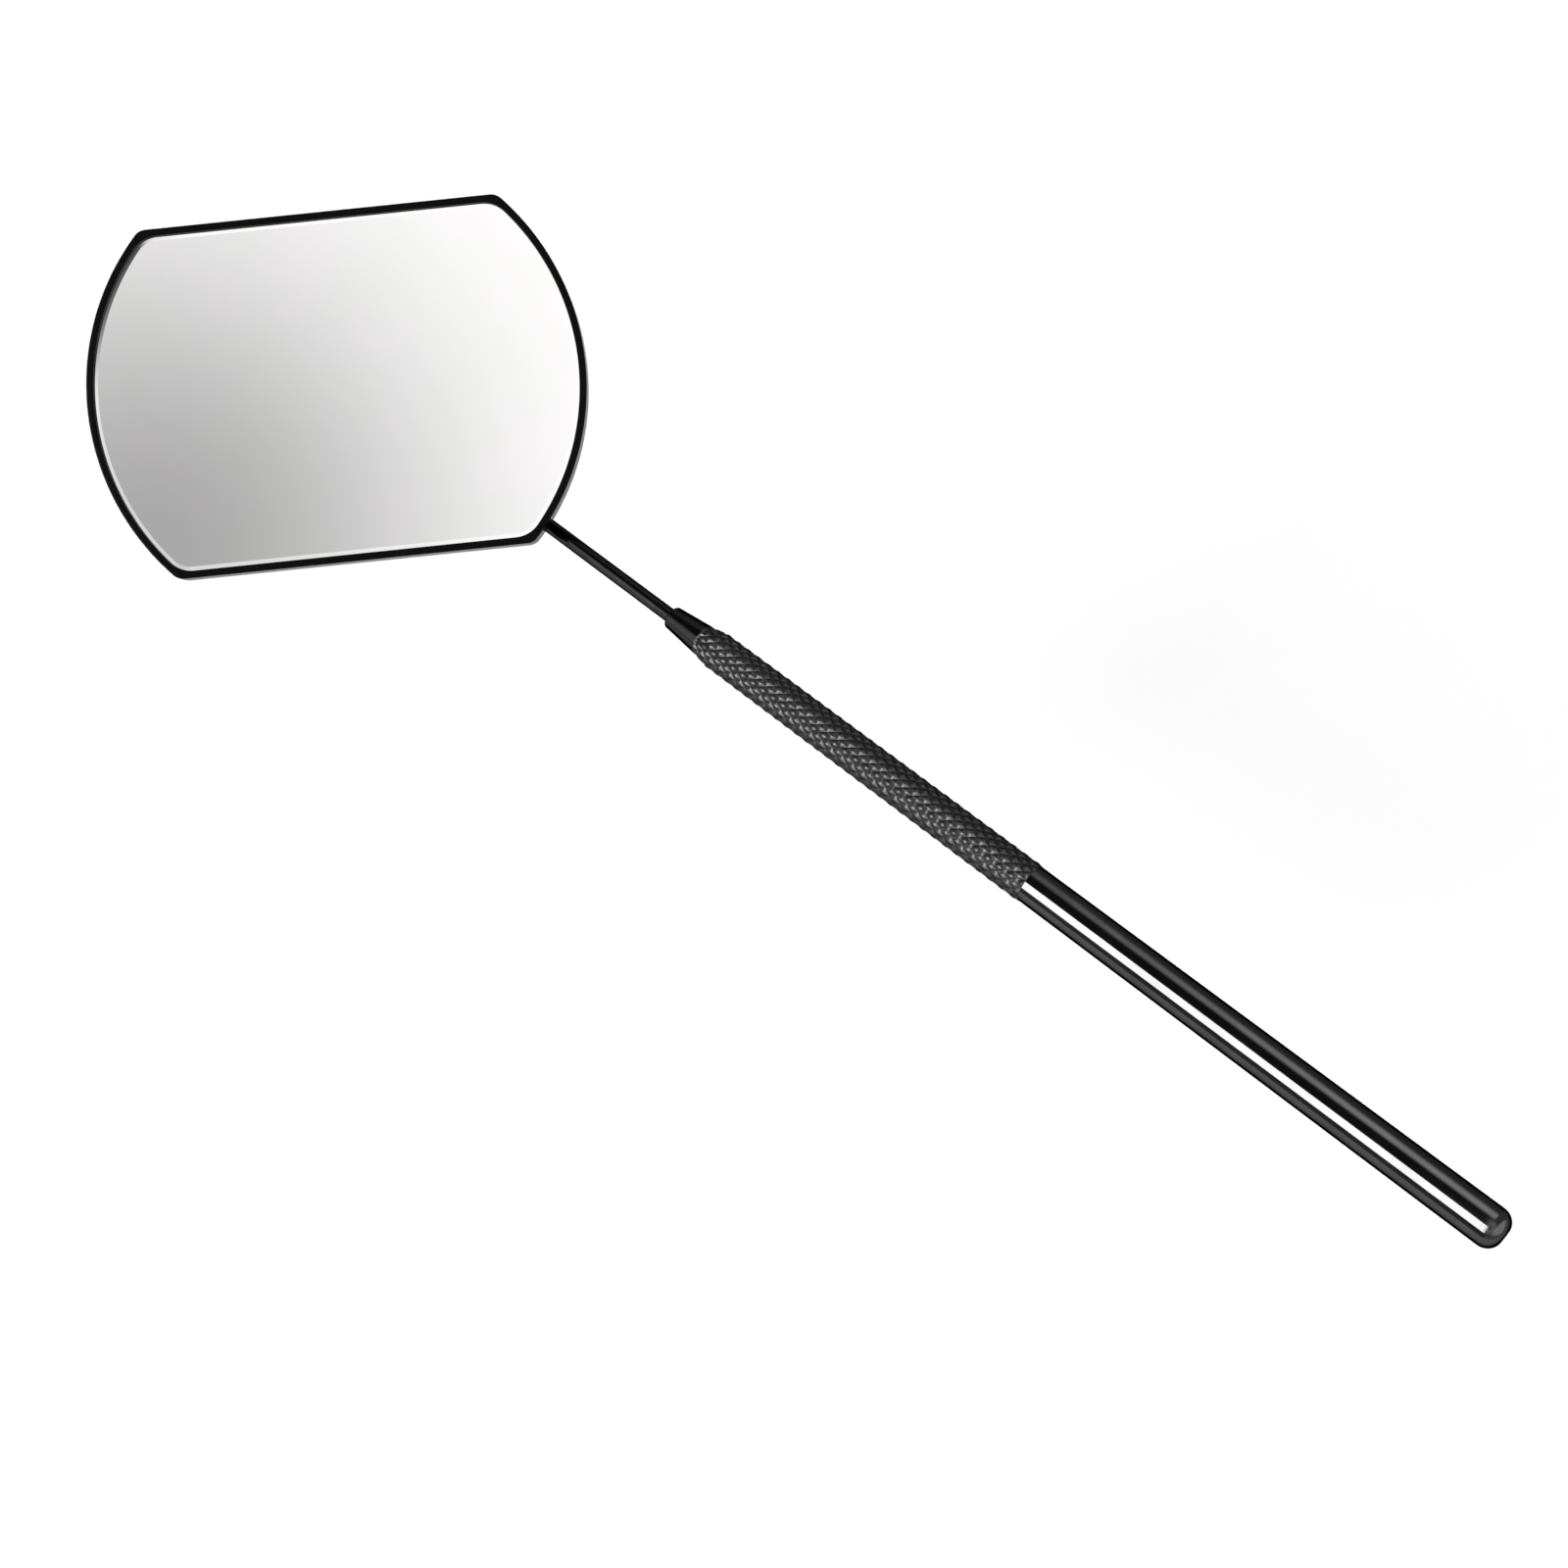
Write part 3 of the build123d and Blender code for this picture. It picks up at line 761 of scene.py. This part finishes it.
def rod_piece():
    """The rod, from its spigot in the ball to the turned-down tail."""
    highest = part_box("tip_rod")[1]
    ball_x = ROD_BALL.x
    tail_x = highest.x - ROD_TAIL_LENGTH
    profile = [
        (ball_x - BALL_SPIGOT_DEPTH, 0),
        (ball_x - BALL_SPIGOT_DEPTH, BALL_SPIGOT_R),
        (ball_x + BALL_FLAT, BALL_SPIGOT_R),
        (ball_x + BALL_FLAT, ROD_NECK_R),
        (ball_x + ROD_NECK_END, ROD_NECK_R),
        (ball_x + ROD_NECK_END + ROD_TAPER, highest.y),
        (tail_x, highest.y),
        (tail_x, ROD_TAIL_R),
        (highest.x, ROD_TAIL_R),
        (highest.x, 0),
    ]
    lathe("rod", eased(profile, ROD_EDGE), "rod_chrome", "tip_rod", segments=SLIM_SEGMENTS)


def rod_ball_piece():
    """The ball on the rod, with a flat and a hole for the rod's spigot."""
    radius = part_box("rod_end_ball")[1].y
    flat = degrees(acos(BALL_FLAT / radius))
    hole_end = ROD_BALL.x - BALL_SPIGOT_DEPTH
    profile = [(ROD_BALL.x + BALL_FLAT, BALL_SPIGOT_R)]
    profile += arc((ROD_BALL.x, 0), radius, start=flat, end=180, steps=BALL_STEPS)
    profile += [(hole_end, 0), (hole_end, BALL_SPIGOT_R)]
    lathe("rod_ball", profile, "ball_steel", "rod_end_ball", segments=SLIM_SEGMENTS)


# ---- mirror head -----------------------------------------------------------

CASE_WALL = 0.5 * MM
CASE_CORNER_R = 2.5 * MM
OPENING_CORNER_R = 5.0 * MM
FRONT_LIP = 0.45 * MM
FRONT_LIP_WIDTH = 1.2 * MM
REAR_LIP = 0.45 * MM
REAR_LIP_WIDTH = 2.2 * MM
RIM_ROUND = 0.3 * MM
RIM_STEPS = 6
LIP_ROUND = 0.12 * MM
LIP_STEPS = 4
GLASS_INSET = 0.6 * MM
GLASS_CREASE = 2
BEVEL_WIDTH = 1.3 * MM
BEVEL_DEPTH = 0.08 * MM
PLATE_INSET = 0.5 * MM
PLATE_EDGE = 0.1 * MM
BOSS_BACK = 5.25 * MM
STUD_NECK_R = 1.0 * MM
STUD_JOURNAL_R = 1.1 * MM
STUD_FLANGE_R = 3.2 * MM
STUD_FLANGE = 0.9 * MM
SIDE_STEPS = 32
CORNER_STEPS = 16


def stud_piece():
    """The ball stud, turned about the face's normal from its ball to its flange."""
    ball_height = STUD_BALL.dot(FACE_NORMAL)
    low, high = (reach - ball_height for reach in span("ball_stud", FACE_NORMAL))
    radius = -low
    neck = degrees(asin(STUD_NECK_R / radius))
    boss_back = FACE_HEIGHT - ball_height - BOSS_BACK
    profile = arc((0, 0), radius, start=180, end=neck, steps=BALL_STEPS)
    profile += [
        (boss_back, STUD_NECK_R),
        (boss_back, STUD_JOURNAL_R),
        (high - STUD_FLANGE, STUD_JOURNAL_R),
        (high - STUD_FLANGE, STUD_FLANGE_R),
        (high, STUD_FLANGE_R),
        (high, 0),
    ]
    place = (STUD_BALL, FACE_NORMAL)
    lathe("mirror_stud_ball", profile, "ball_steel", "ball_stud", place, SLIM_SEGMENTS)


def head_ring(inset, depth, corner):
    """The head's outline, a circle cut by two flats, moved in by inset and down by depth."""
    radius = CASE_R - inset
    half = CASE_HALF - inset
    corner_x = sqrt((radius - corner) ** 2 - (half - corner) ** 2)
    join_angle = atan2(half - corner, corner_x)
    quarter = []
    for step in range(SIDE_STEPS + 1):
        angle = join_angle * step / SIDE_STEPS
        quarter.append((radius * cos(angle), radius * sin(angle)))
    for step in range(1, CORNER_STEPS + 1):
        angle = join_angle + (pi / 2 - join_angle) * step / CORNER_STEPS
        quarter.append((corner_x + corner * cos(angle), half - corner + corner * sin(angle)))
    # the second half is the first one given half a turn
    half_ring = quarter + [(-x, y) for x, y in reversed(quarter)]
    ring = half_ring + [(-x, -y) for x, y in half_ring[1:-1]]
    face_level = FACE_CENTRE - FACE_NORMAL * depth
    return [face_level + CASE_LONG * x + CASE_SHORT * y for x, y in ring]


def head_loft(name, sections, material, replaced, closed, crease=SHADE_CREASE):
    """A piece of the head from sections given as (inset, depth, corner radius)."""
    rings = [head_ring(*section) for section in sections]
    vertices = [point for ring in rings for point in ring]
    faces = ring_faces(len(rings), len(rings[0]), closed)
    return new_piece(name, vertices, faces, material, replaced, crease)


def round_over(radius, steps):
    """Steps along a quarter round: what is left to go one way, and what is gone the other way."""
    angles = [radians(90 * step / steps) for step in range(steps + 1)]
    return [(radius * (1 - sin(angle)), radius * (1 - cos(angle))) for angle in angles]


def outer_corner(inset):
    return CASE_CORNER_R - inset


def rim_piece():
    """The rolled rim: a channel with a front lip, a wall and a rear lip."""
    sections = []
    # outside, from the front opening over the edge and down the wall to the rear opening
    for left, gone in round_over(LIP_ROUND, LIP_STEPS):
        sections.append((FRONT_LIP_WIDTH - gone, left, OPENING_CORNER_R))
    for left, gone in round_over(RIM_ROUND, RIM_STEPS):
        sections.append((left, gone, outer_corner(left)))
    for left, gone in round_over(RIM_ROUND, RIM_STEPS):
        sections.append((gone, CASE_DEPTH - left, outer_corner(gone)))
    for left, gone in round_over(LIP_ROUND, LIP_STEPS):
        sections.append((REAR_LIP_WIDTH - left, CASE_DEPTH - gone, OPENING_CORNER_R))
    # inside, back to the front opening
    sections += [
        (REAR_LIP_WIDTH, CASE_DEPTH - REAR_LIP, OPENING_CORNER_R),
        (CASE_WALL, CASE_DEPTH - REAR_LIP, outer_corner(CASE_WALL)),
        (CASE_WALL, FRONT_LIP, outer_corner(CASE_WALL)),
        (FRONT_LIP_WIDTH, FRONT_LIP, OPENING_CORNER_R),
    ]
    weigh_normals(head_loft("rim", sections, "black_enamel", "bezel_frame", True))


def glass_piece():
    """The bevelled glass, with a crisp line where its bevel starts."""
    sections = [
        (GLASS_INSET + BEVEL_WIDTH, GLASS_FRONT, CASE_CORNER_R + BEVEL_WIDTH),
        (GLASS_INSET, GLASS_FRONT + BEVEL_DEPTH, CASE_CORNER_R),
        (GLASS_INSET, GLASS_BACK, CASE_CORNER_R),
    ]
    head_loft("glass", sections, "silvered_glass", "mirror_glass", False, GLASS_CREASE)


def back_piece():
    """The back plate, with its edges broken."""
    corner = CASE_CORNER_R - PLATE_INSET
    sections = [
        (PLATE_INSET + PLATE_EDGE, PLATE_FRONT, corner - PLATE_EDGE),
        (PLATE_INSET, PLATE_FRONT + PLATE_EDGE, corner),
        (PLATE_INSET, PLATE_BACK - PLATE_EDGE, corner),
        (PLATE_INSET + PLATE_EDGE, PLATE_BACK, corner - PLATE_EDGE),
    ]
    head_loft("back", sections, "black_enamel", "back_plate", False)


# ---- small hardware --------------------------------------------------------

# widths of the bevels on the sharp edges of small pieces
SOFT_EDGES = {
    "clamp_plate_upper": 0.12 * MM,
    "clamp_plate_lower": 0.12 * MM,
    "stud_bracket": 0.12 * MM,
    "tension_nut": 0.15 * MM,
    "spring_washer": 0.06 * MM,
}
SOFT_MERGE_GAP = 0.002 * MM
SOFT_STEPS = 3
# in degrees: faces that turn less than this are one, edges that turn more than this are
# bevelled, and edges that turn more than this after it are shaded sharp
FLAT_ANGLE = 0.8
SHARP_ANGLE = 28
SOFT_CREASE = 40


def softened(node, width):
    """A copy of a CAD node's mesh with its sharp edges rounded by a small bevel."""
    piece = bpy.data.objects.new(node + "_soft", frame["nodes"][node].data.copy())
    bpy.context.collection.objects.link(piece)
    work = bmesh.new()
    work.from_mesh(piece.data)
    bmesh.ops.remove_doubles(work, verts=work.verts, dist=SOFT_MERGE_GAP)
    bmesh.ops.dissolve_limit(
        work, angle_limit=radians(FLAT_ANGLE), verts=work.verts, edges=work.edges,
        use_dissolve_boundaries=False,
    )
    sharp = [edge for edge in work.edges if edge.calc_face_angle(0) > radians(SHARP_ANGLE)]
    bmesh.ops.bevel(
        work, geom=sharp, offset=width, offset_type="OFFSET", segments=SOFT_STEPS, profile=0.5,
        affect="EDGES", clamp_overlap=True,
    )
    work.to_mesh(piece.data)
    work.free()
    shade(piece.data, SOFT_CREASE)
    stand_for(piece, node)
    weigh_normals(piece)


grip_piece()
barrel_piece()
cap_piece()
middle_tube_piece()
rod_piece()
rod_ball_piece()
stud_piece()
rim_piece()
glass_piece()
back_piece()
for node, width in SOFT_EDGES.items():
    softened(node, width)
